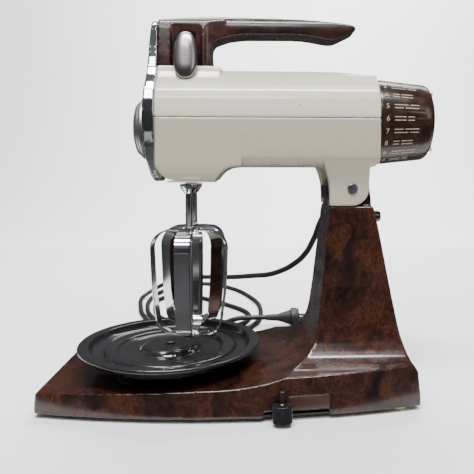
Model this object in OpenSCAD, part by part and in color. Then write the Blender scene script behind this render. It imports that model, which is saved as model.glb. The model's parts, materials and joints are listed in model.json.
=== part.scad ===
// Household stand mixer with a tilting head, twin beaters, a bowl turntable
// on a shift lever and a free mains cord. Millimetres, +Z up, nose towards -X.

/* [Base and column] */
// front of the base, measured from the modelling zero
base_front_x = -171; // [-185:1:-160]
// rear of the base
base_rear_x = 140; // [130:1:150]
// widest half width of the base
base_half_w = 75; // [65:1:85]
// deck height at the front edge
deck_front_z = 20.5; // [16:0.5:26]
// rise of the deck per millimetre of length
deck_rise = 0.04; // [0:0.005:0.08]
// wall thickness of the moulding
wall = 3; // [2:0.5:4]
// height of the rubber feet under the base
foot_h = 3.5; // [2:0.5:6]
// half width of the column at its shoulders
column_half_w = 30; // [26:1:34]
// height of the column shoulders
shoulder_z = 165.2; // [150:0.1:180]

/* [Tilt hinge] */
// hinge pin position along the length
pin_x = 87; // [80:1:95]
// hinge pin height
pin_z = 180; // [170:1:190]
// hinge pin radius
pin_r = 3.75; // [3:0.05:5]
// inner face of each hinge lug from the middle plane
lug_in = 22; // [20:0.5:24]
// outer face of each hinge lug from the middle plane
lug_out = 31; // [28:0.5:34]

/* [Head] */
// height of the seam between the casings, also the motor axis
seam_z = 238.5; // [225:0.5:250]
// front of the casings
head_front_x = -76.5; // [-80:0.5:-70]
// rear of the casings
head_rear_x = 109; // [104:1:114]
// casing wall thickness
skin = 2.5; // [1.8:0.1:3.5]

/* [Speed dial] */
// dial radius at its front edge
dial_r = 37.6; // [34:0.2:40]
// dial radius at its rear edge
dial_rear_r = 33.2; // [28:0.2:36]

/* [Drive] */
// beater axes along the length
beater_x = -51; // [-55:1:-45]
// half of the distance between the beater axes
beater_y = 21; // [19:0.5:23]
// worm radius
worm_r = 6; // [5:0.5:7]
// worm wheel radius, just clear of the worm
wheel_r = 14.6; // [13:0.1:15]
// number of teeth on a worm wheel
wheel_teeth = 24; // [18:1:36]

/* [Beaters] */
// radius of the blade loops
loop_r = 32.5; // [28:0.5:34]
// width of the blade strip
strip_w = 12.7; // [10:0.1:14]
// thickness of the blade strip
strip_t = 1.2; // [0.8:0.1:2]
// top of the loops
loop_top = 145.5; // [135:0.5:155]
// lowest point of the loops
loop_tip = 52; // [48:0.5:60]
// beater shaft radius
shaft_r = 3; // [2.5:0.1:3.5]
// turn of the near beater's loops
near_turn = -5; // [-45:1:45]
// turn of the far beater's loops
far_turn = 43; // [0:1:90]

/* [Turntable] */
// turntable centre along the length
table_x = -70.5; // [-75:0.5:-65]
// turntable radius
table_r = 80; // [70:1:90]
// height of the turntable rim
table_z = 44.2; // [40:0.1:50]
// pivot of the shift lever along the length
shift_x = 20; // [10:1:30]

/* [Cord] */
// cord diameter
cord_d = 6.2; // [5:0.1:8]

/* [Hidden] */
$fn = 48;
home_x = 4.275;
home_y = 3;
run = 0.05;
// middle of the round nose
nose_z = 232;
// foot of the handle pillar on the neck
neck_z = 283.4;
cream = [0.87, 0.85, 0.78];
brown = [0.24, 0.09, 0.05];
black = [0.05, 0.05, 0.05];
steel = [0.62, 0.63, 0.65];
shiny = [0.80, 0.81, 0.83];
copper = [0.72, 0.40, 0.20];
brass = [0.72, 0.58, 0.26];
grey = [0.50, 0.51, 0.52];
tan = [0.75, 0.65, 0.42];

// plan of the base
function plan_w(x) = base_half_w - pow(x + 20, 2) / 1350;
plan_n = 18;
corner_cut = 0.8;
function plan_x(i) = base_front_x + 1.5 + (base_rear_x - base_front_x - 1.5) * i / plan_n;
plan_pts = concat(
    [[base_front_x, -20], [base_front_x + 0.5, -plan_w(base_front_x) + 1.6]],
    [for (i = [0:plan_n]) [plan_x(i) + (i == 0 ? corner_cut : 0), -plan_w(plan_x(i))]],
    [for (i = [plan_n:-1:0]) [plan_x(i) + (i == 0 ? corner_cut : 0), plan_w(plan_x(i))]],
    [[base_front_x + 0.5, plan_w(base_front_x) - 1.6], [base_front_x, 20]]);
function deck_z(x) = deck_front_z + deck_rise * (x - base_front_x);

// side outline of the stand: deck, sweep up to the column, shoulders, back
side_pts = [[base_front_x - 0.4, foot_h], [base_rear_x + 0.6, foot_h], [137.4, 32], [134.6, 36],
    [132.2, 39.4],
    [130.4, 44], [128.4, 50.6], [126.4, 58], [124.8, 66], [123.4, 74], [120.4, 90], [117.2, 107],
    [114, 124],
    [110.8, 141], [109, 149.6], [107, 158], [105.4, shoulder_z],
    [68.8, shoulder_z], [67.4, 153.8], [66.1, 141], [64.8, 128.6], [63.4, 116.8], [62, 103.4], [60.9, 92.6],
    [59.6, 82.7], [58.2, 71], [56.6, 62], [54.4, 55], [51.2, 49], [46.8, 44], [40.8, 39.8], [33, 36.4],
    [24, 33.6], [13, 30.6], [0, deck_z(0) + 1], [-12, deck_z(-12)], [base_front_x + 2.6, deck_front_z]];
// front outline of the stand: half widths against height
front_half = [[80, foot_h - 1], [80, 34.2], [70, 35], [62, 36.6], [55.5, 39.4], [50.5, 43], [46.6, 47.6],
    [43.4, 53], [40.6, 60], [38.2, 69], [36.2, 81], [34.4, 97], [32.8, 118], [31.2, 145],
    [column_half_w, shoulder_z + 1]];
function both(half) = concat(half, [for (i = [len(half) - 1:-1:0]) [-half[i][0], half[i][1]]]);
// tongue between the lugs
tongue_pts = [[69, shoulder_z - 4], [105.3, shoulder_z - 4], [105.2, 171], [103.6, 182], [99, 190.4],
    [95, 194.6], [90, 197.2], [84, 197.2], [78, 195.2], [72.8, 190.4], [69.4, 184]];

// half widths of the head in front view, lower casing
low_half = [[40, seam_z], [39.8, 226], [39.3, 214], [38.4, 206], [36, 203], [30, 200.6], [20, 199],
    [0, 198.4]];
low_in_half = [[37.5, seam_z + 1], [37.3, 226], [36.8, 214], [35.6, 208], [33.4, 205.6], [29, 203.4],
    [19.6, 201.6], [0, 201]];
block_half = [[39.6, seam_z], [39.4, 200], [38.2, 192], [35.4, 188.4], [31, 187], [0, 187]];
block_in_half = [[37.1, seam_z + 1], [36.9, 200], [35.8, 193.2], [34, 190.8], [30, 189.6], [0, 189.6]];
lug_half = [[39.4, 216], [38.4, 207], [35.4, 199], [32.6, 191], [lug_out, 183], [lug_out, 160]];
// upper casing
up_half = [[40, seam_z], [39.8, 246], [38.8, 254], [36, 261], [31.8, 267], [26.8, 271.6], [21, 276.6],
    [13, 280.6], [5, 282.3]];
up_in_half = [[37.5, seam_z - 1], [37.3, 246], [36.2, 253], [33.6, 259.4], [29.8, 264.6], [25.2, 269],
    [19.6, 273.6], [12, 277.6], [4.6, 279.4]];
// nose section: the neck that carries the handle pillar
neck_half = [[40, seam_z], [39.8, 246], [38.8, 254], [36, 261], [31.8, 267], [27.4, 272], [23.8, 278],
    [21.6, 284], [20.8, 287.5]];
neck_in_half = [[37.5, seam_z - 1], [37.3, 246], [36.2, 253], [33.4, 259.4], [29.2, 265.2], [24.8, 270.4],
    [21.4, 276.6], [19.4, 282], [18.6, 284.6]];
bezel_half = [[15, 186.4], [23, 189], [30.5, 194.2], [36.2, 203], [39.6, 215], [41, 228], [41, 242],
    [40, 253], [37.2, 261.6], [32.8, 268.6], [28.2, 274.6], [24.6, 281], [21.8, 290], [19.8, 301],
    [18.6, 312], [17.6, 319], [14.6, 323]];
// side outline of the bezel
bezel_side = [[head_front_x, 184], [-80, 184], [-81.8, 190], [-83.2, 197], [-84.4, 205], [-85.5, 220],
    [-86.4, 236], [-86.2, 250], [-85.4, 262], [-84.8, 276], [-84.2, 290], [-83.4, 305], [-82.2, 316],
    [-81, 322], [head_front_x, 322]];
// side outline of the handle: pillar and grip
handle_side = [[head_front_x, neck_z], [-29.5, neck_z], [-31.4, 290], [-31.9, 297], [-31.6, 302],
    [-30, 305.4],
    [-25.7, 307.6], [-16.7, 310.3], [-8, 311.6], [1.2, 312.1], [37, 312.4], [48, 311.8], [55.3, 310.9],
    [64.4, 309.2], [70, 308.4], [75, 308.7], [79, 310.2], [85, 313.2], [90, 315.8], [92.8, 317.4],
    [92.2, 319.6], [89, 321.4], [79.4, 322.9], [62, 324.8], [44.5, 326.2], [27, 327], [0, 327.8],
    [-20, 328],
    [-42, 327.2], [-58, 325.6], [head_front_x, 324]];
pillar_half = [[21.2, neck_z - 0.3], [20.4, 294], [18.8, 306], [17.4, 316], [15.2, 322], [11.4, 325.6],
    [6.4, 328.2]];
grip_half = [[16, neck_z - 0.3], [14.2, 297], [12.8, 306], [12.8, 311], [13.3, 314.6], [13.4, 318.6],
    [12.4, 322.4], [10, 325.8], [6.4, 328.2]];
// plan of the pillar, which narrows into the grip
pillar_plan = [[head_front_x, -24], [-44, -24], [-40, -19.4], [-35, -16], [-29, -14], [-20, -13.2],
    [-20, 13.2], [-29, 14], [-35, 16], [-40, 19.4], [-44, 24], [head_front_x, 24]];

// route of the cord, gland to plug
cord_pts = [[86, 50, 150], [83, 68, 153], [79, 83, 143], [74, 94, 125], [66, 105, 107], [54, 122, 92],
    [40, 141, 81], [26, 163, 73], [12, 185, 68], [-2, 207, 63], [-16, 230, 58], [-30, 252, 54],
    [-44, 275, 50], [-59, 296, 46], [-74, 318, 42], [-90, 339, 37], [-107, 358, 31], [-126, 372, 23],
    [-147, 375, 12], [-160, 359, 5], [-160, 335, 3.2], [-155, 310, 3.2], [-150, 287, 3.2],
    [-144, 263, 3.2], [-135, 239, 3.2], [-126, 214, 3.2], [-117, 190, 3.2], [-100, 169, 3.2],
    [-76, 160, 3.2], [-50, 156, 3.2], [-24, 161, 3.2], [-2, 175, 3.2], [11, 198, 3.2], [18, 224, 3.2],
    [20, 250, 3.2], [20, 277, 3.2], [18, 304, 3.2], [13, 330, 3.2], [5, 356, 3.2], [-4, 381, 3.2],
    [-15, 405, 3.2], [-30, 428, 3.2], [-48, 447, 3.2], [-70, 462, 3.2], [-95, 462, 3.2],
    [-116, 447, 3.2], [-128, 424, 3.2], [-139, 399, 3.2], [-145, 373, 3.2], [-147, 347, 3.2],
    [-146, 320, 3.2], [-142, 294, 3.2], [-136, 267, 3.2], [-127, 242, 3.2], [-116, 218, 3.2],
    [-99, 197, 3.2], [-78, 181, 3.2], [-53, 175, 3.2], [-27, 181, 3.2], [-7, 198, 3.2], [3, 223, 3.2],
    [3, 249, 3.2], [-6, 273, 3.2], [-21, 295, 3.2], [-37, 316, 3.2], [-55, 336, 3.2], [-74, 355, 3.2],
    [-96, 368, 3.2], [-118, 366, 3.2], [-132, 346, 3.2], [-134, 321, 3.2], [-131, 296, 3.2],
    [-126, 270, 3.2], [-118, 245, 3.2], [-104, 222, 3.2], [-82, 206, 3.2], [-57, 201, 3.2],
    [-31, 202, 4], [-10, 199, 10.5], [9, 197, 12], [25, 197, 12]];

module home() translate([home_x, home_y, 0]) children();
// a profile given in X and Z, swept to both sides of the middle plane
module side_prism(pts, half) translate([0, half, 0]) rotate([90, 0, 0]) linear_extrude(2 * half)
    polygon(pts);
// a profile given in Y and Z, swept from x0 to x1
module front_prism(pts, x0, x1) translate([x0, 0, 0]) rotate([90, 0, 90]) linear_extrude(x1 - x0)
    polygon(pts);
module rod_x(r, x0, x1) translate([x0, 0, 0]) rotate([0, 90, 0]) cylinder(r = r, h = x1 - x0);
module rod_y(r, y0, y1) translate([0, y0, 0]) rotate([-90, 0, 0]) cylinder(r = r, h = y1 - y0);
module cone_x(ra, rb, x0, x1) translate([x0, 0, 0]) rotate([0, 90, 0])
    cylinder(r1 = ra, r2 = rb, h = x1 - x0);

module plan_prism(inset, z0, z1) translate([0, 0, z0]) linear_extrude(z1 - z0) offset(delta = -inset)
    polygon(plan_pts);

foot_at = [[-150, 40], [-150, -40], [122, 48], [122, -48]];
screw_at = [[-120, 0], [-28, 44], [-28, -44], [104, 0]];

module stand() color(brown) home() difference() {
    union() {
        intersection() {
            plan_prism(0, foot_h, 200);
            side_prism(side_pts, 90);
            front_prism(both(front_half), -190, 160);
        }
        side_prism(tongue_pts, 21.7);
    }
    // hollow underside and column
    intersection() {
        plan_prism(wall, foot_h - 1, 180);
        translate([0, 120, 0]) rotate([90, 0, 0]) linear_extrude(240) intersection() {
            offset(delta = -wall) polygon(side_pts);
            translate([-300, -10]) square([600, 171]);
        }
        front_prism([for (p = both(front_half)) [p[0] - sign(p[0]) * wall, p[1] - (p[1] > 30 ? 2.4 : 0)]],
            -190, 160);
    }
    translate([0, 0, foot_h - 2]) linear_extrude(6) offset(delta = -wall) polygon(plan_pts);
    // hinge bore and cord hole
    translate([pin_x, 0, pin_z]) rod_y(pin_r + run, -40, 40);
    translate([86 - home_x, 0, 150]) rod_y(5, 20, 50);
    // arc slot in the deck for the turntable post
    translate([shift_x, 0, 10]) rotate([0, 0, 174]) rotate_extrude(angle = 26)
        translate([shift_x - table_x - 8, 0]) square([16, 30]);
    // notch in the near wall for the shift lever, and recess for the plate over it
    translate([11, -80, 2]) cube([52, 14, 6.2]);
    cover_recess(0, 1.4, 29.8, 33.2, 8.8, 11.2);
    // latch bore in the back of the column
    translate([0, 0, 154.8]) rod_x(5.05, 100, 130);
}

module base_cover_plate() color([0.16, 0.15, 0.14]) home() difference() {
    union() {
        translate([0, 0, foot_h]) linear_extrude(1.6) offset(delta = -wall - 0.1) polygon(plan_pts);
        for (p = screw_at) translate([p[0], p[1], foot_h]) cylinder(r = 5, h = 8);
        translate([shift_x, 0, foot_h]) cylinder(r = 4, h = 12.5);
    }
    for (p = screw_at) translate([p[0], p[1], 0]) cylinder(r = 1.8, h = 9);
    for (p = foot_at) translate([p[0], p[1], 0]) cylinder(r = 3, h = 9);
}

module foot() {
    cylinder(r1 = 7.6, r2 = 8.6, h = foot_h);
    cylinder(r = 3, h = foot_h + 1.6);
    translate([0, 0, foot_h + 1.6]) cylinder(r = 4.4, h = 1.6);
}
module feet_front() color(tan) home() for (i = [0, 1]) translate([foot_at[i][0], foot_at[i][1], 0]) foot();
module feet_rear() color(tan) home() for (i = [2, 3]) translate([foot_at[i][0], foot_at[i][1], 0]) foot();

module cover_screws() color(steel) home() for (p = screw_at) translate([p[0], p[1], 0]) difference() {
    union() {
        translate([0, 0, foot_h - 1.6]) cylinder(r = 3.4, h = 1.6);
        translate([0, 0, foot_h - 1]) cylinder(r = 1.8, h = 6);
    }
    translate([-2.4, -0.5, 0]) cube([4.8, 1, foot_h - 0.9]);
}

// a slice of the near wall's skin
module cover_recess(outer, inner, x, long, z, high) intersection() {
    difference() {
        plan_prism(outer - (outer == 0 ? 1 : 0), z, z + high);
        plan_prism(inner, z - 1, z + high + 1);
    }
    translate([x, -80, z - 2]) cube([long, 30, high + 4]);
}
module slot_cover() color([0.30, 0.13, 0.07]) home() cover_recess(0.3, 1.4, 30, 32.8, 9, 10.8);

module tilt_bumper() color(black) home() difference() {
    translate([66.6, -14, 171.5]) cube([4, 28, 11]);
    side_prism(tongue_pts, 30);
}

module latch_button() color(black) home() translate([0, 0, 154.8]) {
    rod_x(5, 102.8, 116.4);
    cone_x(5, 4.2, 116.4, 118.2);
    rod_x(5.8, 99.8, 102.9);
}

module cord_gland() color(black) {
    translate([86, 0, 150]) {
        rod_y(4.9, 26, 36);
        rod_y(7.4, 34.4, 36.8);
        translate([0, 36.8, 0]) rotate([-90, 0, 0]) cylinder(r1 = 5.8, r2 = 4.2, h = 13.2);
        rod_y(6.6, 27.2, 29.6);
    }
}

// a round tube through the route, one ring at each point
function unit(v) = v / norm(v);
function ring_dir(p, i) = unit(p[min(i + 1, len(p) - 1)] - p[max(i - 1, 0)]);
cord_sides = 10;
function frame_u(p, i) = let (d = ring_dir(p, i), a = abs(d[2]) < 0.8 ? [0, 0, 1] : [1, 0, 0])
    unit(cross(d, a));
module tube(p, r) {
    n = len(p);
    pts = [for (i = [0:n - 1]) let (d = ring_dir(p, i), u = frame_u(p, i), v = cross(d, u))
        for (k = [0:cord_sides - 1])
            p[i] + r * (cos(360 * k / cord_sides) * u + sin(360 * k / cord_sides) * v)];
    sides = [for (i = [0:n - 2]) for (k = [0:cord_sides - 1]) let (m = (k + 1) % cord_sides)
        [i * cord_sides + k, i * cord_sides + m, (i + 1) * cord_sides + m, (i + 1) * cord_sides + k]];
    caps = [[for (k = [cord_sides - 1:-1:0]) k], [for (k = [0:cord_sides - 1]) (n - 1) * cord_sides + k]];
    polyhedron(points = pts, faces = concat(sides, caps), convexity = 10);
}
module power_cord() color(black) tube(cord_pts, cord_d / 2);

module plug_body() color(black) translate([15, 197, 12]) {
    cone_x(3.6, 4.6, 10, 26);
    cone_x(4.6, 9.6, 26, 42);
    rod_x(11.8, 42, 47.4);
    cone_x(11.8, 10.8, 47.4, 52);
}
module plug_pins() color(steel) translate([67, 197, 12]) {
    translate([0, -7.5, -3.2]) cube([17.5, 1.5, 6.4]);
    translate([0, 6, -3.2]) cube([17.5, 1.5, 6.4]);
}

module shift_arm() color(steel) home() difference() {
    union() {
        translate([table_x, -7, 10]) cube([shift_x - table_x, 14, 2.4]);
        translate([table_x, 0, 10]) cylinder(r = 10, h = 2.4);
        translate([shift_x, 0, 10]) cylinder(r = 10, h = 2.4);
        translate([shift_x - 2, -66, 10]) cube([10, 66, 2.4]);
        translate([shift_x - 2, -66, 5.6]) cube([10, 3, 6.8]);
        translate([shift_x - 2, -79, 5.6]) cube([10, 16, 2]);
        translate([shift_x, 0, 10]) cylinder(r = 7, h = 6);
    }
    translate([shift_x, 0, 9]) cylinder(r = 4 + run, h = 9);
    translate([table_x, 0, 9]) cylinder(r = 3.5, h = 9);
}
module turntable_post() color(steel) home() translate([table_x, 0, 0]) {
    translate([0, 0, 8.6]) cylinder(r = 5, h = 1.4);
    translate([0, 0, 9.5]) cylinder(r = 3.5, h = 3);
    translate([0, 0, 12.4]) cylinder(r = 5.5, h = 16.8);
    translate([0, 0, 29]) cylinder(r = 3.95, h = 9);
}
module shift_knob() color(black) home() difference() {
    union() {
        translate([25, -75.6, 3.6]) intersection() {
            cylinder(r = 10.4, h = 13);
            translate([-7.6, -10.4, 0]) cube([15.2, 10.4, 13]);
        }
        translate([23.5, -79.6, 16]) cube([3, 4, 10.4]);
    }
    translate([shift_x - 2, -79, 5.6]) cube([10, 20, 2]);
    for (i = [-2:2]) translate([25 + i * 2.6, -86.1 + abs(i) * 0.55, 3]) cylinder(r = 0.5, h = 20, $fn = 8);
}

module turntable() color(black) home() translate([table_x, 0, 0]) difference() {
    rotate_extrude($fn = 96) polygon([[4, 29.25], [12, 29.25], [12, 31], [44, 31], [44, 28.6],
        [47, 28.6], [47, 31],
        [68, 33.2], [71, 34.6], [table_r - 1.4, table_z - 3.2], [table_r, table_z - 1.6],
        [table_r - 0.6, table_z],
        [table_r - 9.4, table_z], [68.8, 39.6], [66.6, 37.4],
        [58.4, 37], [57, 39.8], [46.4, 39.8], [44.6, 36.8], [27.4, 36.4], [25.6, 38.6], [22, 40.4],
        [4, 40.8]]);
    translate([0, 0, 20]) cylinder(r = 4, h = 18.2);
}

module lug_slot() translate([48, -lug_in, 150]) cube([70, 2 * lug_in, 48.2]);
module pin_clear() translate([pin_x, 0, pin_z]) rod_y(23, -lug_in, lug_in);

boss_at = [[-70.9, -34.2], [-70.9, 34.2], [2, -34.4], [2, 34.4], [91, -34.4], [91, 34.4]];
block_side = [[head_front_x, seam_z], [head_front_x, 199], [-72.6, 192.6], [-67.6, 188.4], [-61, 187],
    [-28, 187],
    [-25.4, 190.6], [-21.4, 195], [-15, 198.2], [-6, 199.4], [-6, seam_z]];
lug_side = concat([[60, 214], [62.6, 200], [65.4, 193], [67.4, 185], [68, 177], [68, 165.6],
    [pin_x, 165.6]],
    [for (a = [-80:10:0]) [pin_x + 14.4 * cos(a), pin_z + 14.4 * sin(a)]],
    [[101.4, 199], [108.8, 201], [108.8, 214]]);

module lower_casing() color(cream) home() difference() {
    union() {
        difference() {
            union() {
                front_prism(both(low_half), head_front_x, head_rear_x);
                intersection() {
                    front_prism(both(block_half), head_front_x, -5);
                    side_prism(block_side, 60);
                }
                intersection() {
                    front_prism(both(lug_half), 58, head_rear_x);
                    side_prism(lug_side, 60);
                }
            }
            front_prism(both(low_in_half), head_front_x + skin, head_rear_x - skin);
            intersection() {
                front_prism(both(block_in_half), head_front_x + skin, -5.5);
                side_prism([[-72.5, 240], [-72.5, 199.6], [-69.6, 193.6], [-65.8, 190.6], [-60, 189.6],
                    [-30, 189.6],
                    [-28, 192.4], [-23.6, 197.2], [-16.4, 200.8], [-5.5, 202.4], [-5.5, 240]], 60);
            }
        }
        // arch over the hinge
        intersection() {
            translate([pin_x, 0, pin_z]) rod_y(25.5, -24.5, 24.5);
            translate([60, -30, 200.2]) cube([46, 60, 20]);
        }
        // ribs that hold the stator, and screw bosses
        for (x = [36, 57]) difference() {
            translate([x, -29, 200.9]) cube([3, 58, 14]);
            translate([0, 0, seam_z]) rod_x(31, 30, 70);
        }
        for (p = boss_at) translate([p[0], p[1], 207.5]) cylinder(r = 3.4, h = seam_z - 207.5);
    }
    lug_slot();
    pin_clear();
    translate([pin_x, 0, pin_z]) rod_y(pin_r, -50, 50);
    for (s = [-1, 1]) translate([beater_x, s * beater_y, 180]) cylinder(r = 6.6, h = 14);
    translate([0, 0, seam_z]) rod_x(8, 100, 112);
    for (p = boss_at) translate([p[0], p[1], 210]) cylinder(r = 1.5, h = 60);
}

up_side = [[head_front_x, seam_z], [head_front_x, neck_z], [-31.4, neck_z], [-27.4, 283], [-23.4, 282.6],
    [40, 282.6], [70, 280.8], [90, 279], [head_rear_x, 276.6], [head_rear_x, seam_z]];
module upper_casing() color(cream) home() difference() {
    intersection() {
        union() {
            front_prism(both(up_half), -33, head_rear_x);
            front_prism(both(neck_half), head_front_x, -33);
            intersection() {
                front_prism(both(neck_half), -34, -23);
                side_prism([[-34, 240], [-34, neck_z], [-31.4, neck_z], [-27.4, 283], [-23.4, 282.6],
                    [-23.4, 240]], 60);
            }
        }
        side_prism(up_side, 60);
    }
    difference() {
        intersection() {
            union() {
                front_prism(both(up_in_half), -36, head_rear_x - skin);
                front_prism(both(neck_in_half), head_front_x + skin, -36);
            }
            side_prism([[-100, 236], [-100, 280.6], [-34, 280.6], [-30, 280.4], [-26, 280], [40, 279.8],
                [70, 278],
                [90, 276.2], [112, 273.6], [112, 236]], 60);
        }
        for (p = boss_at) translate([p[0], p[1], 230]) cylinder(r = 3.4, h = 22);
    }
    for (p = boss_at) translate([p[0], p[1], 230]) cylinder(r = 1.5, h = 18);
    translate([0, 0, seam_z]) rod_x(8, 100, 112);
}

module gearbox_bottom_plate() color([0.80, 0.79, 0.74]) home() difference() {
    translate([-68, -31, 185.4]) cube([38, 62, 1.6]);
    for (s = [-1, 1]) translate([beater_x, s * beater_y, 180]) cylinder(r = 6.6, h = 14);
    for (x = [-66, -32]) for (s = [-1, 1]) translate([x, s * 33, 180]) rotate([0, 0, 45])
        cube([7, 7, 20], center = true);
}

module front_bezel() color(shiny) home() difference() {
    union() {
        intersection() {
            front_prism(both(bezel_half), -100, head_front_x);
            side_prism(bezel_side, 60);
        }
        translate([0, 0, nose_z]) cone_x(27.4, 31, -87.8, -84);
    }
    // hollow back
    intersection() {
        front_prism([for (p = both(bezel_half)) [p[0] * 0.84, (p[1] - 236) * 0.9 + 236]], -83.2, -74);
        side_prism([[-70, 180], [-78, 196], [-81, 210], [-82.4, 236], [-81.6, 262], [-80, 290], [-79, 316],
            [-70, 316]], 60);
    }
    translate([0, 0, nose_z]) rod_x(20, -110, -70);
}

module nose_flange() color(grey) home() translate([0, 0, nose_z]) difference() {
    union() {
        cone_x(25.4, 26.4, -93, -91.4);
        rod_x(26.4, -91.4, -87.8);
        rod_x(20, -87.9, -78);
    }
    rod_x(16.2, -110, -70);
    rod_x(24.2, -94, -90.4);
}

module nose_cap() color([0.74, 0.75, 0.76]) home() translate([0, 0, nose_z]) {
    rotate([0, 90, 0]) rotate_extrude($fn = 72) polygon([[0, -99], [10, -98.8], [17, -98.2], [21.2, -96.8],
        [23.4, -94.8], [23.9, -93], [23.9, -90.45], [16.1, -90.45], [16.1, -82.4], [0, -82.4]]);
}

module pillar_slot() translate([-57.4, -30, 291]) cube([11.6, 60, 21]);
module handle() color(brown) home() difference() {
    union() {
        intersection() {
            side_prism(handle_side, 40);
            front_prism(both(pillar_half), head_front_x, -20);
            translate([0, 0, 270]) linear_extrude(70) polygon(pillar_plan);
        }
        intersection() {
            side_prism(handle_side, 40);
            front_prism(both(grip_half), -39, 97);
        }
    }
    pillar_slot();
    // flat recess behind each lever capsule
    for (s = [-1, 1]) translate([-65.4, s > 0 ? 15.8 : -35.8, 281]) cube([25.6, 20, 38.4]);
}

module hinge_pin() color(steel) home() translate([pin_x, 0, pin_z]) {
    rod_y(pin_r, -31.4, 31.4);
    for (s = [-1, 1]) translate([0, s > 0 ? 31 : -32.2, 0]) rod_y(4.4, 0, 1.2);
}

module casing_screws() color(steel) home() for (p = boss_at) translate([p[0], p[1], 210])
    cylinder(r = 1.5, h = 38);

module dial_post() color(grey) home() translate([0, 0, seam_z]) difference() {
    union() {
        rod_x(14, 104.2, 106.5);
        rod_x(8, 106.4, 127);
        rod_x(9.6, 109.05, 110.4);
    }
    rod_x(2, 100, 130);
}

capsule_tilt = 9;
module capsule(s) intersection() {
    translate([-52.6, s * 26, 290.8]) rotate([s * capsule_tilt, 0, 0]) {
        translate([0, -4, 0]) rotate([-90, 0, 0]) linear_extrude(8) {
            translate([0, 10.2]) circle(r = 10.2);
            translate([0, -10.2]) circle(r = 10.2);
            square([20.4, 20.4], center = true);
        }
    }
    translate([-70, s > 0 ? 16.2 : -46.2, 262]) cube([36, 30, 60]);
}
module ejector_lever() color(shiny) home() {
    difference() {
        for (s = [-1, 1]) capsule(s);
        // clear of the neck and of the pillar
        front_prism([for (p = both(neck_half)) [p[0] + sign(p[0]) * 0.5, p[1] + (p[1] > 287 ? 0.4 : 0)]],
            -80, -30);
    }
    translate([-56.6, -23, 292]) cube([10, 46, 8]);
}
module ejector_plate() color(steel) home() {
    translate([beater_x - 5, -25, 263]) cube([10, 50, 3]);
    for (s = [-1, 1]) translate([beater_x, s * beater_y, 244.6]) cylinder(r = 2.6, h = 18.8);
    translate([beater_x, 0, 266]) cylinder(r = 3, h = 10);
}
module ejector_spring() color(steel) home() translate([beater_x, 0, 253]) difference() {
    cylinder(r = 6.4, h = 10);
    translate([0, 0, -1]) cylinder(r = 5.2, h = 12);
}

module gearbox_frame() color([0.66, 0.67, 0.68]) home() difference() {
    union() {
        translate([-63.6, -28.4, 190.8]) cube([34.6, 56.8, 5.2]);
        translate([-70, -12.5, 196]) cube([41, 25, 2.2]);
        translate([-63, -28.4, 250]) cube([34, 56.8, 3]);
        translate([-70, -12.5, 250]) cube([41, 25, 3]);
        translate([-70, -12.5, 196]) cube([4.6, 25, 55]);
        translate([-33, -12.5, 195]) cube([4, 25, 56]);
        for (x = [-56, -36]) for (s = [-1, 1]) translate([x, s * 12, 189.6]) cylinder(r = 2.4, h = 1.6);
    }
    for (s = [-1, 1]) translate([beater_x, s * beater_y, 180]) cylinder(r = 6 + run, h = 90);
    translate([0, 0, seam_z]) rod_x(6.5, -69, -60);
    translate([0, 0, seam_z]) rod_x(5, -40, -20);
}

module front_bearing() color(brass) home() translate([0, 0, seam_z]) difference() {
    rod_x(6.5, -69, -65);
    rod_x(3 + run, -70, -60);
}
module rear_bearing() color(brass) home() translate([0, 0, seam_z]) difference() {
    rod_x(7.5, 94, 99);
    rod_x(3 + run, 90, 100);
}
module motor_stator() color([0.45, 0.46, 0.48]) home() translate([0, 0, seam_z]) difference() {
    rod_x(31, 28, 68);
    rod_x(17.4, 20, 80);
    for (a = [45, 225]) rotate([a, 0, 0]) translate([20, -9, 16]) cube([60, 18, 8.4]);
    for (a = [135, 315]) rotate([a, 0, 0]) translate([20, -9, 16]) cube([60, 18, 8.4]);
}
module field_windings() color(copper) home() translate([0, 0, seam_z]) difference() {
    union() {
        rod_x(26, 22, 28);
        rod_x(26, 68, 74);
        for (a = [45, 135, 225, 315]) rotate([a, 0, 0]) translate([22, -8.6, 18.2]) cube([52, 17.2, 6]);
    }
    rod_x(18, 10, 90);
}
module armature_core() color([0.40, 0.41, 0.43]) home() translate([0, 0, seam_z]) difference() {
    rod_x(16.8, 30, 66);
    for (i = [0:11]) rotate([i * 30, 0, 0]) translate([20, -0.8, 14.4]) cube([60, 1.6, 4]);
    rod_x(3, 20, 80);
}
module armature_shaft() color(steel) home() translate([0, 0, seam_z]) rod_x(3, -68.6, 100);
module commutator() color(copper) home() translate([0, 0, seam_z]) difference() {
    rod_x(10, 77, 88);
    for (i = [0:11]) rotate([i * 30, 0, 0]) translate([70, -0.3, 9.2]) cube([30, 0.6, 2]);
    rod_x(3, 70, 100);
}
module cooling_fan() color([0.12, 0.12, 0.13]) home() translate([0, 0, seam_z]) difference() {
    union() {
        rod_x(7, 8, 19);
        rod_x(28, 8, 9.6);
        for (i = [0:8]) rotate([i * 40, 0, 0]) translate([9, -0.7, 5]) cube([9, 1.4, 22.6]);
    }
    rod_x(3, 0, 30);
}
module worm() color(steel) home() translate([0, 0, seam_z]) difference() {
    rod_x(worm_r, -62, -40);
    for (i = [0:5]) translate([-60.4 + i * 3.6, 0, 0]) difference() {
        rod_x(worm_r + 1, 0, 1.4);
        rod_x(worm_r - 1.4, -1, 3);
    }
    rod_x(3, -70, -30);
}
module brush_holder() difference() {
    union() {
        translate([-4.4, 11.6, -4.4]) cube([8.8, 18, 8.8]);
        translate([4, 25, -4.4]) cube([13, 4.6, 8.8]);
    }
    translate([-3, 11, -3]) cube([6, 15, 6]);
}
module brush_holders() color(brass) home() translate([82, 0, seam_z]) {
    brush_holder();
    mirror([0, 1, 0]) brush_holder();
}
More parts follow.
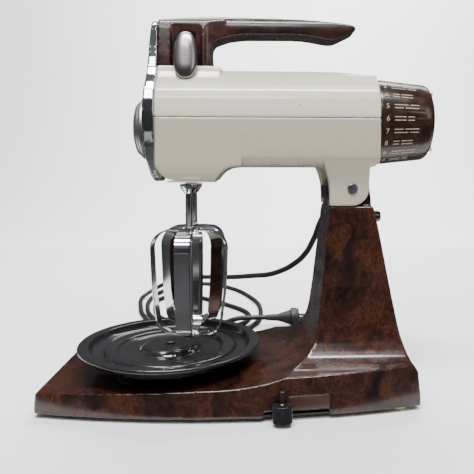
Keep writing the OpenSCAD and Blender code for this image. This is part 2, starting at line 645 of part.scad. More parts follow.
module carbon_brushes() color([0.15, 0.15, 0.16]) home() translate([82, 0, seam_z]) {
    translate([-3, 10.1, -3]) cube([6, 15.9, 6]);
    translate([-3, -26, -3]) cube([6, 15.9, 6]);
}
module switch_plate() color([0.30, 0.24, 0.16]) home() translate([0, 0, seam_z]) difference() {
    union() {
        rod_x(33.6, 99, 101.6);
        translate([99, -37.2, -4]) cube([2.6, 74.4, 8]);
        rod_x(9.4, 93.6, 99.4);
    }
    rod_x(7.5, 90, 99);
    rod_x(3.4, 90, 110);
}
module capacitor() color([0.62, 0.55, 0.30]) home() translate([0, 0, 209.6]) rod_x(8, -18, 6);

module spindle(s) translate([beater_x, s * beater_y, 0]) difference() {
    union() {
        translate([0, 0, 187.6]) cylinder(r = 6, h = 68);
        translate([0, 0, 196.4]) cylinder(r = 8, h = 1.6);
    }
    translate([0, 0, 180]) cylinder(r = shaft_r + run, h = 90);
}
module worm_wheel(s) translate([beater_x, s * beater_y, 234.5]) difference() {
    cylinder(r = wheel_r, h = 8, $fn = 72);
    for (i = [0:wheel_teeth - 1]) rotate([0, 0, 360 * i / wheel_teeth]) translate([wheel_r + 0.2, 0, -1])
        cylinder(r = 1, h = 10, $fn = 8);
    translate([0, 0, -1]) cylinder(r = 6, h = 10);
}
module spindle_near() color(steel) home() spindle(-1);
module spindle_far() color(steel) home() spindle(1);
module worm_wheel_near() color(brass) home() worm_wheel(-1);
module worm_wheel_far() color(brass) home() worm_wheel(1);

// one loop of strip in the plane of its own X and Z, open to both sides
loop_h = loop_top - loop_tip;
function loop_out(t) = concat(
    [[0, loop_h - t]],
    [for (a = [90:-15:0]) [loop_r - t - 16 + 16 * cos(a), loop_h - t - 16 + 16 * sin(a)]],
    [[loop_r - t - 1.4, 40], [loop_r - t - 4, 22]],
    [for (a = [0:-20:-80]) [loop_r - t - 15.4 + 11 * cos(a), 16.4 + t * 0.6 + 11 * sin(a)]],
    [[5.4, 2.6 + t], [0, t * 1.3]]);
function mirror_pts(p) = concat(p, [for (i = [len(p) - 1:-1:0]) if (p[i][0] > 0.001) [-p[i][0], p[i][1]]]);
module loop() rotate([90, 0, 0]) translate([0, 0, -strip_w / 2]) linear_extrude(strip_w) difference() {
    polygon(mirror_pts(loop_out(0)));
    polygon(mirror_pts(loop_out(strip_t)));
}
module beater_blades(s, turn) translate([beater_x, s * beater_y, loop_tip]) rotate([0, 0, turn]) {
    difference() {
        union() {
            loop();
            rotate([0, 0, 90]) loop();
        }
        translate([0, 0, 6]) cylinder(r = shaft_r, h = 100);
    }
}
module beater_shaft(s) translate([beater_x, s * beater_y, 0]) difference() {
    translate([0, 0, loop_tip + 2]) cylinder(r = shaft_r, h = 244.2 - loop_tip - 2);
    translate([0, 0, loop_tip]) cylinder(r = shaft_r + 1, h = 0.1);
}
module beater_collar(s) translate([beater_x, s * beater_y, 0]) difference() {
    union() {
        translate([0, 0, 176]) cylinder(r1 = 4, r2 = 7.6, h = 6);
        translate([0, 0, 182]) cylinder(r = 7.6, h = 2.6);
    }
    translate([0, 0, 170]) cylinder(r = shaft_r, h = 20);
}
module beater_shaft_near() color(shiny) home() difference() {
    beater_shaft(-1);
    beater_blades(-1, near_turn);
}
module beater_shaft_far() color(shiny) home() difference() {
    beater_shaft(1);
    beater_blades(1, far_turn);
}
module beater_blades_near() color(shiny) home() beater_blades(-1, near_turn);
module beater_blades_far() color(shiny) home() beater_blades(1, far_turn);
module beater_collar_near() color(shiny) home() beater_collar(-1);
module beater_collar_far() color(shiny) home() beater_collar(1);

dial_back = [[dial_rear_r, 153], [dial_rear_r - 1.4, 155.8], [dial_rear_r - 5, 157.6], [24, 158.4],
    [12, 158.8]];
module speed_dial() color(brown) home() translate([0, 0, seam_z]) difference() {
    rotate([0, 90, 0]) rotate_extrude($fn = 96) polygon(concat([[8 + run, 112], [12, 112], [12, 150],
        [dial_r - 5, 150], [dial_r - 2.6, 109.8], [dial_r - 0.4, 109.8], [dial_r, 110.6]], dial_back,
        [[0, 158.8], [0, 130], [8 + run, 130]]));
}
module dial_end_grip() color([0.62, 0.60, 0.46]) home() translate([0, 0, seam_z]) difference() {
    front_prism([[-8, -22], [-9.6, -25.4], [9.6, -25.4], [8, -22], [6.4, -12], [6, 0], [6.4, 12], [8, 22],
        [9.6, 25.4], [-9.6, 25.4], [-8, 22], [-6.4, 12], [-6, 0], [-6.4, -12]], 153, 163);
    rotate([0, 90, 0]) rotate_extrude($fn = 96)
        polygon(concat([[0, 100], [60, 100], [dial_r, 110.6]], dial_back, [[0, 158.8]]));
    side_prism([[163.1, -30], [161.4, -18], [160.4, 0], [161.4, 18], [163.1, 30], [167, 30],
        [167, -30]], 20);
}

stand();
base_cover_plate();
feet_front();
feet_rear();
cover_screws();
slot_cover();
tilt_bumper();
latch_button();
cord_gland();
power_cord();
plug_body();
plug_pins();
shift_arm();
turntable_post();
shift_knob();
turntable();
lower_casing();
upper_casing();
gearbox_bottom_plate();
front_bezel();
nose_flange();
nose_cap();
handle();
hinge_pin();
casing_screws();
dial_post();
ejector_lever();
ejector_plate();
ejector_spring();
gearbox_frame();
motor_stator();
field_windings();
brush_holders();
carbon_brushes();
front_bearing();
rear_bearing();
switch_plate();
capacitor();
armature_core();
armature_shaft();
commutator();
cooling_fan();
worm();
spindle_near();
worm_wheel_near();
spindle_far();
worm_wheel_far();
beater_shaft_near();
beater_blades_near();
beater_collar_near();
beater_shaft_far();
beater_blades_far();
beater_collar_far();
speed_dial();
dial_end_grip();
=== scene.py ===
"""Looks of the household stand mixer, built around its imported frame. Lengths are in metres."""
import json
import math

import bpy
import bmesh
from mathutils import Matrix, Vector


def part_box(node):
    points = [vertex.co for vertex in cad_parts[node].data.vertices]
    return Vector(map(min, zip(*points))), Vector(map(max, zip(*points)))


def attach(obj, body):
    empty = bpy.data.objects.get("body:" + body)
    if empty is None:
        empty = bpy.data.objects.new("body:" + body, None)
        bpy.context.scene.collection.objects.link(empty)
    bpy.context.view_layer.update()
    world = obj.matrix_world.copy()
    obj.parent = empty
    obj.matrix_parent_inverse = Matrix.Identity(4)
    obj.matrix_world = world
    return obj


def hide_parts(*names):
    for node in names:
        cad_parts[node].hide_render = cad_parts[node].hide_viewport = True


MM = 0.001
SAME_POINT = 1e-6
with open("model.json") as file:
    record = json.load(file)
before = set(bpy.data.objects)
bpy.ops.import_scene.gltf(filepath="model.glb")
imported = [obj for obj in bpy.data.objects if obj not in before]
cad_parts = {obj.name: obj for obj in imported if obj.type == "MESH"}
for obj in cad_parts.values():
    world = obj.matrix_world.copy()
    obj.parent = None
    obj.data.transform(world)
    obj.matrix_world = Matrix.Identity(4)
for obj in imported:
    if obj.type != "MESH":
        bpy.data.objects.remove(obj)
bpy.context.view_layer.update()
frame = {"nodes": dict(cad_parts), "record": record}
nodes = frame["nodes"]


# ---------------------------------------------------------------- materials

PLASTIC_IOR = 1.5
MIX_SHARE, MIX_A, MIX_B, MIX_RESULT = 0, 6, 7, 2  # sockets of a colour mix node
NOISE_LOW, NOISE_HIGH = 0.3, 0.7  # where most of a noise lies


def new_material(name, colour, rough, metal=0.0, coat=0.0, coat_rough=0.05):
    """A principled material with its plain numbers on the shader's own sockets."""
    m = bpy.data.materials.new(name)
    m.use_nodes = True
    b = m.node_tree.nodes["Principled BSDF"]
    b.inputs["Base Color"].default_value = (*colour, 1)
    b.inputs["Roughness"].default_value = rough
    b.inputs["Metallic"].default_value = metal
    b.inputs["Coat Weight"].default_value = coat
    b.inputs["Coat Roughness"].default_value = coat_rough
    b.inputs["IOR"].default_value = PLASTIC_IOR
    m.diffuse_color = (*colour, 1)
    return m


def add(m, kind, **settings):
    n = m.node_tree.nodes.new(kind)
    for k, v in settings.items():
        if hasattr(n, k):
            setattr(n, k, v)
        else:
            n.inputs[k].default_value = v
    return n


def join(m, a, out, b, into):
    m.node_tree.links.new(a.outputs[out], b.inputs[into])


def shader(m):
    return m.node_tree.nodes["Principled BSDF"]


def coords(m, stretch=(1, 1, 1)):
    """Object coordinates in metres, stretched along the axes."""
    place = add(m, "ShaderNodeTexCoord")
    mapping = add(m, "ShaderNodeMapping")
    mapping.inputs["Scale"].default_value = stretch
    join(m, place, "Object", mapping, "Vector")
    return mapping


def noise_node(m, at, scale, detail=4.0, rough=0.55, distortion=0.0):
    n = add(m, "ShaderNodeTexNoise", Scale=scale, Detail=detail, Roughness=rough,
            Distortion=distortion)
    join(m, at, "Vector", n, "Vector")
    return n


def ramp(m, source, stops):
    """Colour ramp over a noise; stops are (place, colour)."""
    r = add(m, "ShaderNodeValToRGB")
    for end, (place, colour) in zip(r.color_ramp.elements, (stops[0], stops[-1])):
        end.position = place
        end.color = (*colour, 1)
    for place, colour in stops[1:-1]:
        e = r.color_ramp.elements.new(place)
        e.color = (*colour, 1)
    join(m, source, "Fac", r, "Fac")
    return r


def multiplied(m, base, veil, share):
    """The base colour is base, darkened by veil."""
    mix = add(m, "ShaderNodeMix", data_type="RGBA", blend_type="MULTIPLY")
    mix.inputs[MIX_SHARE].default_value = share
    m.node_tree.links.new(base.outputs["Color"], mix.inputs[MIX_A])
    m.node_tree.links.new(veil.outputs["Color"], mix.inputs[MIX_B])
    m.node_tree.links.new(mix.outputs[MIX_RESULT], shader(m).inputs["Base Color"])


def rough_from(m, source, low, high):
    """Roughness runs from low to high with a noise."""
    r = add(m, "ShaderNodeMapRange")
    r.inputs["From Min"].default_value = NOISE_LOW
    r.inputs["From Max"].default_value = NOISE_HIGH
    r.inputs["To Min"].default_value = low
    r.inputs["To Max"].default_value = high
    join(m, source, "Fac", r, "Value")
    join(m, r, "Result", shader(m), "Roughness")


def bump_from(m, source, strength, distance):
    b = add(m, "ShaderNodeBump", Strength=strength, Distance=distance)
    join(m, source, "Fac", b, "Height")
    join(m, b, "Normal", shader(m), "Normal")


def marbled(name, dark, mid, red, scale, rough, stretch=(1, 1, 1), coat=0.22):
    """Moulded phenolic: cloudy streaks of dark brown and red brown under a worn gloss."""
    m = new_material(name, mid, rough, coat=coat, coat_rough=0.08)
    at = coords(m, stretch)
    cloud = noise_node(m, at, scale, 7.0, 0.66, 1.3)
    tint = ramp(m, cloud, [(0.38, dark), (0.49, mid), (0.60, red), (0.72, mid)])
    streak = noise_node(m, at, scale * 3.4, 6.0, 0.7, 2.2)
    veil = ramp(m, streak, [(0.36, (0.30, 0.26, 0.26)), (0.58, (1, 1, 1))])
    multiplied(m, tint, veil, 0.85)
    wear = noise_node(m, at, 90.0, 5.0, 0.6)
    rough_from(m, wear, rough * 0.75, rough * 1.5)
    grain = noise_node(m, at, 420.0, 3.0, 0.5)
    bump_from(m, grain, 0.08, 0.0002)
    return m


def enamel(name, light, aged, rough):
    """Cream enamel: a slow shift of tone, faint specks of dirt, fine orange peel."""
    m = new_material(name, light, rough, coat=0.5, coat_rough=0.06)
    at = coords(m)
    slow = noise_node(m, at, 9.0, 3.0, 0.5)
    tint = ramp(m, slow, [(0.3, aged), (0.62, light)])
    specks = noise_node(m, at, 260.0, 2.0, 0.5)
    dots = ramp(m, specks, [(0.24, (0.45, 0.40, 0.30)), (0.29, (1, 1, 1))])
    multiplied(m, tint, dots, 0.6)
    rough_from(m, slow, rough * 0.85, rough * 1.25)
    peel = noise_node(m, at, 700.0, 2.0, 0.5)
    bump_from(m, peel, 0.04, 0.0001)
    return m


def metal(name, colour, rough, grain=(1, 1, 1), scale=300.0, bump=0.03, spread=0.5):
    """Plated, cast or turned metal with its own fine grain and smears."""
    m = new_material(name, colour, rough, metal=1.0)
    at = coords(m, grain)
    fine = noise_node(m, at, scale, 4.0, 0.6)
    smear = noise_node(m, at, 28.0, 4.0, 0.6)
    dull = [c * 0.72 for c in colour]
    tint = ramp(m, smear, [(0.3, dull), (0.6, colour)])
    join(m, tint, "Color", shader(m), "Base Color")
    rough_from(m, smear, rough * (1 - spread * 0.5), rough * (1 + spread))
    bump_from(m, fine, bump, 0.0002)
    return m


def moulded(name, colour, rough, scale=350.0, bump=0.06, coat=0.0, dust=0.25):
    """Plain moulded plastic, rubber or carbon: small tone shift, mottled gloss, fine grain."""
    m = new_material(name, colour, rough, coat=coat)
    at = coords(m)
    tone = noise_node(m, at, 22.0, 5.0, 0.6)
    light = [min(1.0, c * (1 + dust) + 0.01 * dust) for c in colour]
    tint = ramp(m, tone, [(0.35, colour), (0.7, light)])
    join(m, tint, "Color", shader(m), "Base Color")
    rough_from(m, tone, rough * 0.8, rough * 1.3)
    fine = noise_node(m, at, scale, 3.0, 0.55)
    bump_from(m, fine, bump, 0.0002)
    return m


MAT = {
    "brown_moulding": marbled("brown_moulding", (0.009, 0.004, 0.0035), (0.032, 0.010, 0.006),
                              (0.050, 0.0155, 0.007), 30.0, 0.20, (1, 1.2, 0.75)),
    "brown_handle": marbled("brown_handle", (0.010, 0.005, 0.005), (0.020, 0.008, 0.007),
                            (0.040, 0.013, 0.009), 24.0, 0.27, (0.6, 1, 1)),
    "dial_brown": marbled("dial_brown", (0.016, 0.007, 0.004), (0.028, 0.012, 0.006),
                          (0.040, 0.017, 0.009), 20.0, 0.22, coat=0.08),
    "cream_paint": enamel("cream_paint", (0.565, 0.545, 0.45), (0.55, 0.52, 0.44), 0.24),
    # cream_lower is a darker, warmer copy of cream_paint. The darkening is painted shade for the lower
    # casing, which sits below the light from above. The warmer tint is the enamel's own tone.
    "cream_lower": enamel("cream_lower", (0.365, 0.335, 0.255), (0.375, 0.335, 0.265), 0.26),
    "plate_cream": enamel("plate_cream", (0.70, 0.68, 0.60), (0.60, 0.57, 0.48), 0.40),
    "chrome_trim": metal("chrome_trim", (0.72, 0.73, 0.75), 0.075, scale=240.0, bump=0.012),
    "satin_metal": metal("satin_metal", (0.40, 0.365, 0.375), 0.30, (1, 1, 0.15), 420.0, 0.05),
    "nose_grey": metal("nose_grey", (0.42, 0.43, 0.44), 0.34, scale=500.0, bump=0.05),
    "zinc_steel": metal("zinc_steel", (0.56, 0.57, 0.60), 0.28, scale=420.0, bump=0.05),
    "laminations": metal("laminations", (0.34, 0.35, 0.37), 0.42, (60, 1, 1), 40.0, 0.15),
    "copper_wire": metal("copper_wire", (0.72, 0.32, 0.14), 0.30, scale=160.0, bump=0.2),
    "brass_parts": metal("brass_parts", (0.68, 0.48, 0.18), 0.26),
    "cast_frame": metal("cast_frame", (0.52, 0.53, 0.55), 0.48, scale=160.0, bump=0.2),
    "black_plastic": moulded("black_plastic", (0.010, 0.010, 0.011), 0.16, bump=0.03, coat=0.4),
    "black_matte": moulded("black_matte", (0.014, 0.014, 0.015), 0.48),
    "black_rubber": moulded("black_rubber", (0.013, 0.013, 0.014), 0.40, 600.0, 0.1),
    "foot_rubber": moulded("foot_rubber", (0.56, 0.42, 0.20), 0.6, 200.0, 0.2),
    "panel_brown": moulded("panel_brown", (0.038, 0.017, 0.009), 0.34),
    "cover_board": moulded("cover_board", (0.030, 0.024, 0.020), 0.66, 180.0, 0.2),
    "carbon": moulded("carbon", (0.030, 0.030, 0.032), 0.55, 250.0, 0.1),
    "grip_olive": moulded("grip_olive", (0.50, 0.46, 0.29), 0.40),
    "print_white": moulded("print_white", (0.31, 0.27, 0.21), 0.5, 300.0, 0.02, dust=0.05),
    "dark_gap": moulded("dark_gap", (0.012, 0.012, 0.013), 0.6),
}
slot_of = {row["node"]: row["material_slot"] for row in frame["record"]["subparts"]}
body_of = {n: b for b, names in frame["record"]["behaviour"]["bodies"].items() for n in names}
for node_name, o in nodes.items():
    o.data.materials.clear()
    o.data.materials.append(MAT[slot_of[node_name]])


# ---------------------------------------------------------------- mesh helpers

def link(name, mesh, material):
    o = bpy.data.objects.new(name, mesh)
    bpy.context.scene.collection.objects.link(o)
    mesh.materials.clear()
    mesh.materials.append(MAT[material])
    return o


def shade_smooth(mesh, sharp=None):
    """Smooth shading, with edges over sharp degrees kept crisp."""
    for p in mesh.polygons:
        p.use_smooth = True
    if sharp is not None:
        mesh.set_sharp_from_angle(angle=math.radians(sharp))


def from_bmesh(name, bm, material, sharp=35):
    bmesh.ops.recalc_face_normals(bm, faces=bm.faces)
    mesh = bpy.data.meshes.new(name)
    bm.to_mesh(mesh)
    bm.free()
    shade_smooth(mesh, sharp)
    return link(name, mesh, material)


def settle(o):
    """Applies o's modifiers to its mesh."""
    dg = bpy.context.evaluated_depsgraph_get()
    mesh = bpy.data.meshes.new_from_object(o.evaluated_get(dg))
    o.modifiers.clear()
    o.data = mesh


def place(o, node_name, slot=None, replace=True):
    """o moves with the node's body; unless replace is false, the node's own part is hidden."""
    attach(o, body_of[node_name])
    if replace:
        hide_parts(node_name)
    return o


def cad_copy(node_name, name):
    bm = bmesh.new()
    bm.from_mesh(nodes[node_name].data)
    bmesh.ops.remove_doubles(bm, verts=bm.verts, dist=SAME_POINT)
    mesh = bpy.data.meshes.new(name)
    bm.to_mesh(mesh)
    bm.free()
    return link(name, mesh, slot_of[node_name])


def softened(node_name, name, voxel, passes, keep):
    """The node's shape with its moulded or cast edges rounded over."""
    o = cad_copy(node_name, name)
    r = o.modifiers.new("remesh", "REMESH")
    r.mode = "VOXEL"
    r.voxel_size = voxel
    s = o.modifiers.new("smooth", "SMOOTH")
    s.factor = 0.5
    s.iterations = passes
    d = o.modifiers.new("decimate", "DECIMATE")
    d.ratio = keep
    settle(o)
    shade_smooth(o.data)
    return place(o, node_name)


FLAT_WITHIN, BEVEL_OVER, CRISP_OVER = 0.5, 30, 40  # degrees between faces


def bevelled(node_name, name, width):
    """The node's shape with small rounded edges."""
    o = cad_copy(node_name, name)
    planar = o.modifiers.new("planar", "DECIMATE")
    planar.decimate_type = "DISSOLVE"
    planar.angle_limit = math.radians(FLAT_WITHIN)
    b = o.modifiers.new("bevel", "BEVEL")
    b.width = width
    b.segments = 2
    b.limit_method = "ANGLE"
    b.angle_limit = math.radians(BEVEL_OVER)
    settle(o)
    shade_smooth(o.data, CRISP_OVER)
    return place(o, node_name)


def lathe(name, profile, axis, material, steps):
    """A profile of (radius, height) turned about an upright axis at (x, y)."""
    bm = bmesh.new()
    rings = []
    for radius, height in profile:
        turns = [2 * math.pi * i / steps for i in range(steps)]
        rings.append([bm.verts.new((axis[0] + radius * math.cos(a), axis[1] + radius * math.sin(a), height))
                      for a in turns])
    for a, b in zip(rings, rings[1:]):
        for i in range(steps):
            j = (i + 1) % steps
            bm.faces.new((a[i], a[j], b[j], b[i]))
    bm.faces.new(rings[0][::-1])
    bm.faces.new(rings[-1])
    bmesh.ops.remove_doubles(bm, verts=bm.verts, dist=SAME_POINT)
    return from_bmesh(name, bm, material)


def centre_of(node_name):
    low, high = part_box(node_name)
    return (low + high) / 2


def size_of(node_name):
    low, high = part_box(node_name)
    return high - low


# ---------------------------------------------------------------- moulded and cast shells

softened("stand", "base_and_column", 0.95 * MM, 7, 0.3)
softened("lower_casing", "lower_casing_shell", 0.95 * MM, 7, 0.4)
softened("upper_casing", "upper_casing_shell", 0.95 * MM, 9, 0.4)
softened("front_bezel", "chrome_bezel", 0.9 * MM, 6, 0.5)
softened("handle", "carrying_handle", 0.95 * MM, 8, 0.5)
softened("turntable", "bowl_turntable", 1.0 * MM, 2, 0.5)
softened("plug_body", "plug_moulding", 0.5 * MM, 4, 0.6)
softened("cord_gland", "cord_strain_relief", 0.45 * MM, 3, 0.6)
softened("shift_knob", "shift_knob_moulding", 0.3 * MM, 8, 0.6)
for small, width in (("nose_flange", 0.5), ("nose_cap", 0.9), ("speed_dial", 0.7), ("dial_end_grip", 0.5),
                     ("slot_cover", 0.4), ("latch_button", 0.5), ("hinge_pin", 1.4),
                     ("gearbox_bottom_plate", 0.4), ("feet_front", 0.5), ("feet_rear", 0.5),
                     ("beater_collar_near", 0.4), ("beater_collar_far", 0.4), ("plug_pins", 0.3)):
    bevelled(small, small + "_rounded", width * MM)


# ---------------------------------------------------------------- ejector capsules

def capsules():
    """Two domed metal grips on a bar through the handle pillar."""
    lever = "ejector_lever"
    low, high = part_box(lever)
    mid = centre_of(lever)
    tilt = math.radians(9)
    outer = 30 * MM
    thick = 5.6 * MM
    tall = high.z - low.z - 0.4 * MM
    shape = [(0, 0.06), (0.012, 0.28), (0.04, 0.46), (0.09, 0.62), (0.16, 0.75), (0.26, 0.87), (0.38, 0.95),
             (0.5, 0.99), (0.6, 1.0), (0.7, 0.97), (0.79, 0.89), (0.87, 0.76), (0.93, 0.6), (0.97, 0.42),
             (0.99, 0.26), (1, 0.06)]
    half = (high.x - low.x) / 2
    across = 16
    bm = bmesh.new()
    for side in (-1, 1):
        rings = []
        for t, w in shape:
            ring = []
            for j in range(across + 1):
                u = -math.cos(math.pi * j / across)
                rise = thick * math.sqrt(max(0.0, 1 - u * u)) ** 0.8 * min(1.0, w * 1.15)
                up = (0.5 - t) * tall
                out = outer - thick + rise - up * math.sin(tilt)
                ring.append(bm.verts.new((mid.x + half * w * u, mid.y + side * out, mid.z + up)))
            rings.append(ring)
        for a, b in zip(rings, rings[1:]):
            for j in range(across):
                bm.faces.new((a[j], a[j + 1], b[j + 1], b[j]))
            bm.faces.new((a[across], a[0], b[0], b[across]))
        bm.faces.new(rings[0])
        bm.faces.new(rings[-1])
    bar = Vector((10 * MM, 2 * (outer - thick - 0.2 * MM), 8 * MM))
    bar_centre = mid + Vector((1 * MM, 0, 5 * MM))
    for v in bmesh.ops.create_cube(bm, size=1)["verts"]:
        v.co = bar_centre + v.co * bar
    place(from_bmesh("ejector_capsules", bm, "satin_metal", 50), lever, slot="satin_metal")


capsules()


# ---------------------------------------------------------------- beaters

NEAR_TURN, FAR_TURN = -5, 43  # degrees
LOOP_HALF_WIDTH = 32.5 * MM
STRIP_WIDTH = 12.7 * MM


def strip_loop(bm, centre, turn, half_width, top, bottom, strip, thick):
    """One loop of flat strip standing on its tip, in a plane turned about Z."""
    r = half_width - thick / 2
    corner, tip = 16 * MM, 12 * MM
    line = [(0, top - thick / 2)]
    for k in range(0, 13):
        a = math.pi / 2 * (1 - k / 12)
        line.append((r - corner + corner * math.cos(a), top - thick / 2 - corner + corner * math.sin(a)))
    for inset, height in ((0.8, 55), (1.8, 38), (3.8, 24)):
        line.append((r - inset * MM, bottom + height * MM))
    for k in range(0, 9):
        a = -math.pi / 2 * 0.86 * k / 8
        line.append((r - 4.6 * MM - tip + tip * math.cos(a), bottom + 17 * MM + tip * math.sin(a)))
    line.append((5 * MM, bottom + 3.1 * MM))
    line.append((0, bottom + thick * 0.6))
    whole = line + [(-x, z) for x, z in line[-2:0:-1]]
    spin = Matrix.Rotation(turn, 3, "Z")
    edge = strip / 2
    soft = 0.35 * MM
    section = [(-edge + soft, -thick / 2), (edge - soft, -thick / 2), (edge, 0), (edge - soft, thick / 2),
               (-edge + soft, thick / 2), (-edge, 0)]
    rings = []
    n = len(whole)
    for i, (x, z) in enumerate(whole):
        ax, az = whole[i - 1]
        bx, bz = whole[(i + 1) % n]
        d = Vector((bx - ax, 0, bz - az)).normalized()
        out = Vector((d.z, 0, -d.x))
        flat = [Vector((x, 0, z)) + out * t + Vector((0, s, 0)) for s, t in section]
        rings.append([bm.verts.new(Vector(centre) + spin @ v) for v in flat])
    for i in range(n):
        a, b = rings[i], rings[(i + 1) % n]
        for k in range(len(section)):
            m = (k + 1) % len(section)
            bm.faces.new((a[k], a[m], b[m], b[k]))


def beater(side, turn):
    blades = "beater_blades_" + side
    shaft = "beater_shaft_" + side
    low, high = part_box(blades)
    axis = centre_of(shaft)
    thick = 1.2 * MM
    bm = bmesh.new()
    for k in (0, 1):
        strip_loop(bm, (axis.x, axis.y, 0), math.radians(turn + 90 * k), LOOP_HALF_WIDTH,
                   high.z, low.z + k * thick, STRIP_WIDTH, thick)
    o = from_bmesh("whisk_" + side, bm, "chrome_trim", 40)
    place(o, blades)
    s_low, s_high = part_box(shaft)
    r = size_of(shaft).x / 2
    rod = [(0.2 * MM, s_low.z), (r - 0.5 * MM, s_low.z), (r, s_low.z + 0.5 * MM), (r, high.z - 3 * MM),
           (r + 0.9 * MM, high.z - 2 * MM), (r + 0.9 * MM, high.z + 1.4 * MM), (r, high.z + 2.4 * MM),
           (r, s_high.z - 0.8 * MM), (r - 0.8 * MM, s_high.z), (0.2 * MM, s_high.z)]
    place(lathe("whisk_rod_" + side, rod, (axis.x, axis.y), "chrome_trim", 32), shaft)


beater("near", NEAR_TURN)
beater("far", FAR_TURN)


# ---------------------------------------------------------------- dial print

def dial_print():
    """Generic numbers round the drum, each with two short bars."""
    dial = "speed_dial"
    low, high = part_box(dial)
    mid = centre_of("dial_post")
    front_r = (high.z - low.z) / 2
    rear_r = front_r - 4.4 * MM
    front_x = low.x + 0.8 * MM
    taper_x = 42.4 * MM

    def radius(x):
        return front_r + (rear_r - front_r) * (x - front_x) / taper_x

    bm = bmesh.new()
    lift = 0.1 * MM

    def put(points_faces, x0, angle):
        points, faces = points_faces
        made = []
        for px, py in points:
            x = x0 + px
            r = radius(x) + lift
            a = angle + py / r
            made.append(bm.verts.new((x, mid.y - r * math.cos(a), mid.z + r * math.sin(a))))
        for f in faces:
            bm.faces.new([made[i] for i in f])

    def bar(x, y, w, h):
        n = 4
        pts = [(x + w * i / n, y + dy) for i in range(n + 1) for dy in (0, h)]
        return pts, [(2 * i, 2 * i + 2, 2 * i + 3, 2 * i + 1) for i in range(n)]

    def glyph(text, size):
        curve = bpy.data.curves.new("glyph", "FONT")
        curve.body = text
        curve.size = size
        curve.resolution_u = 3
        o = bpy.data.objects.new("glyph", curve)
        bpy.context.scene.collection.objects.link(o)
        dg = bpy.context.evaluated_depsgraph_get()
        mesh = bpy.data.meshes.new_from_object(o.evaluated_get(dg))
        pts = [(v.co.x, v.co.y) for v in mesh.vertices]
        faces = [tuple(p.vertices) for p in mesh.polygons]
        bpy.data.objects.remove(o)
        return pts, faces

    step = math.radians(16.4)
    for k in range(1, 13):
        angle = (6 - k) * step
        put(glyph(str(k), 6.2 * MM), front_x + (3.2 if k < 10 else 1.6) * MM, angle - 0.055)
        for row, seed in ((1.1, 7), (-1.7, 5)):
            at = 10.5
            for word in range(2):
                long = 5.5 + 2.2 * ((k * seed + 2 * word) % 4)
                put(bar(0, row * MM, long * MM, 0.75 * MM), front_x + at * MM, angle)
                at += long + 1.6
    o = from_bmesh("dial_numbers", bm, "print_white", 60)
    place(o, dial, slot="dial_brown", replace=False)


dial_print()


# ---------------------------------------------------------------- cord

CORD_MM = [
    (86, 50, 150), (83, 68, 153), (79, 83, 143), (74, 94, 125), (66, 105, 107), (54, 122, 92),
    (40, 141, 81), (26, 163, 73), (12, 185, 68), (-2, 207, 63), (-16, 230, 58), (-30, 252, 54),
    (-44, 275, 50), (-59, 296, 46), (-74, 318, 42), (-90, 339, 37), (-107, 358, 31), (-126, 372, 23),
    (-147, 375, 12), (-160, 359, 5), (-160, 335, 3.2), (-155, 310, 3.2), (-150, 287, 3.2),
    (-144, 263, 3.2), (-135, 239, 3.2), (-126, 214, 3.2), (-117, 190, 3.2), (-100, 169, 3.2),
    (-76, 160, 3.2), (-50, 156, 3.2), (-24, 161, 3.2), (-2, 175, 3.2), (11, 198, 3.2), (18, 224, 3.2),
    (20, 250, 3.2), (20, 277, 3.2), (18, 304, 3.2), (13, 330, 3.2), (5, 356, 3.2), (-4, 381, 3.2),
    (-15, 405, 3.2), (-30, 428, 3.2), (-48, 447, 3.2), (-70, 462, 3.2), (-95, 462, 3.2),
    (-116, 447, 3.2), (-128, 424, 3.2), (-139, 399, 3.2), (-145, 373, 3.2), (-147, 347, 3.2),
    (-146, 320, 3.2), (-142, 294, 3.2), (-136, 267, 3.2), (-127, 242, 3.2), (-116, 218, 3.2),
    (-99, 197, 3.2), (-78, 181, 3.2), (-53, 175, 3.2), (-27, 181, 3.2), (-7, 198, 3.2), (3, 223, 3.2),
    (3, 249, 3.2), (-6, 273, 3.2), (-21, 295, 3.2), (-37, 316, 3.2), (-55, 336, 3.2), (-74, 355, 3.2),
    (-96, 368, 3.2), (-118, 366, 3.2), (-132, 346, 3.2), (-134, 321, 3.2), (-131, 296, 3.2),
    (-126, 270, 3.2), (-118, 245, 3.2), (-104, 222, 3.2), (-82, 206, 3.2), (-57, 201, 3.2),
    (-31, 202, 4), (-10, 199, 10.5), (9, 197, 12), (25, 197, 12),
]


CORD_DIAMETER = 6.2 * MM


def free_cord():
    points = [Vector(p) * MM for p in CORD_MM]
    curve = bpy.data.curves.new("mains_cord", "CURVE")
    curve.dimensions = "3D"
    curve.bevel_depth = CORD_DIAMETER / 2
    curve.bevel_resolution = 5
    curve.resolution_u = 6
    curve.use_fill_caps = True
    line = curve.splines.new("BEZIER")
    line.bezier_points.add(len(points) - 1)
    for b, p in zip(line.bezier_points, points):
        b.co = p
        b.handle_left_type = b.handle_right_type = "AUTO"
    o = bpy.data.objects.new("mains_cord", curve)
    bpy.context.scene.collection.objects.link(o)
    curve.materials.append(MAT["black_rubber"])
    place(o, "power_cord")


free_cord()


# ---------------------------------------------------------------- camera, lights, floor

def look(location, yaw, pitch, lens, shift):
    cam = bpy.data.cameras.new("camera")
    cam.sensor_width = 36
    cam.lens = lens
    cam.shift_x, cam.shift_y = shift
    cam.clip_end = 20
    o = bpy.data.objects.new("camera", cam)
    bpy.context.scene.collection.objects.link(o)
    o.location = location
    o.rotation_euler = (math.radians(90 + pitch), 0, math.radians(yaw))
    bpy.context.scene.camera = o


look(location=(4.275 * MM, -475.5 * MM, 189.5 * MM), yaw=-2.49, pitch=-2.92, lens=40.68,
     shift=(-0.0745, -0.0677))


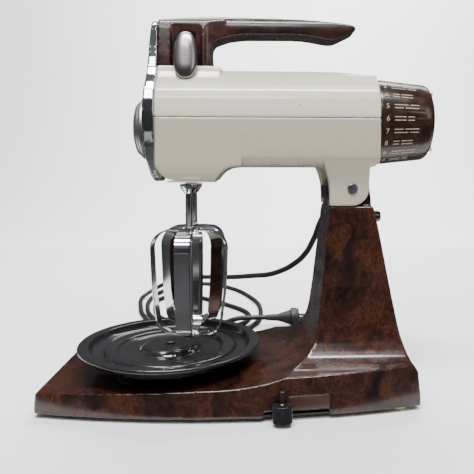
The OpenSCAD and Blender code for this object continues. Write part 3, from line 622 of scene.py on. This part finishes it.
def area(name, at, target, width, height, power, colour=(1, 1, 1)):
    light = bpy.data.lights.new(name, "AREA")
    light.shape = "RECTANGLE"
    light.size, light.size_y = width, height
    light.energy = power
    light.color = colour
    o = bpy.data.objects.new(name, light)
    bpy.context.scene.collection.objects.link(o)
    o.location = at
    o.rotation_euler = (Vector(target) - Vector(at)).to_track_quat("-Z", "Y").to_euler()


area("key", (-0.25, -1.15, 1.35), (0, 0, 0.15), 0.9, 0.25, 11)
area("fill", (1.3, -1.2, 0.9), (0, 0, 0.15), 0.35, 0.9, 3, (0.95, 0.97, 1))
area("top", (0, -0.5, 1.5), (0, 0, 0.1), 1.0, 0.25, 42)
area("back", (0.3, 0.9, 1.5), (0, 1.8, 0.3), 1.8, 0.8, 80)


def flag(name, at, facing, width, height):
    """A dark board the camera doesn't see, for gloss and chrome to mirror."""
    bm = bmesh.new()
    turn = Vector(facing).to_track_quat("Z", "Y").to_matrix()
    corners = [Vector((sx * width / 2, sy * height / 2, 0))
               for sx, sy in ((-1, -1), (1, -1), (1, 1), (-1, 1))]
    bm.faces.new([bm.verts.new(Vector(at) + turn @ c) for c in corners])
    o = from_bmesh(name, bm, "dark_gap")
    o.visible_camera = False
    o.visible_diffuse = False
    o.visible_shadow = False


flag("flag_left", (-1.0, -0.1, 0.45), (1, 0, 0), 1.3, 0.9)
flag("flag_right", (1.1, -0.1, 0.4), (-1, 0, 0), 1.3, 0.8)
flag("flag_front", (0, -1.5, 0.42), (0, 1, 0), 2.4, 0.75)
flag("flag_back", (0.1, 0.95, 0.70), (0, -1, 0), 2.6, 1.4)
flag("flag_floor", (0, -0.79, 0.001), (0, 0, 1), 2.4, 1.42)
flag("flag_floor_back", (0.1, 0.52, 0.00005), (0, 0, 1), 2.4, 0.86)

world = bpy.data.worlds.new("studio")
bpy.context.scene.world = world
world.use_nodes = True
sky = world.node_tree.nodes["Background"]
sky.inputs["Color"].default_value = (0.95, 0.96, 1, 1)
sky.inputs["Strength"].default_value = 0.16


def floor():
    """A pale sweep: flat, then curving up into a wall behind."""
    bm = bmesh.new()
    front, bend, bend_r, wall_top, steps = -3, 1.2, 0.8, 3.5, 12
    turns = [math.pi / 2 * i / steps for i in range(1, steps + 1)]
    line = [(front, 0), (bend, 0)]
    line += [(bend + bend_r * math.sin(a), bend_r - bend_r * math.cos(a)) for a in turns]
    line.append((bend + bend_r, wall_top))
    rows = [[bm.verts.new((x, y, z)) for x in (-5, 5)] for y, z in line]
    for a, b in zip(rows, rows[1:]):
        bm.faces.new((a[0], a[1], b[1], b[0]))
    o = from_bmesh("studio_floor", bm, "print_white")
    m = new_material("studio_white", (0.90, 0.90, 0.90), 0.6)
    at = coords(m)
    tone = noise_node(m, at, 2.0)
    tint = ramp(m, tone, [(0.3, (0.88, 0.88, 0.88)), (0.7, (0.91, 0.91, 0.91))])
    join(m, tint, "Color", shader(m), "Base Color")
    o.data.materials[0] = m


floor()
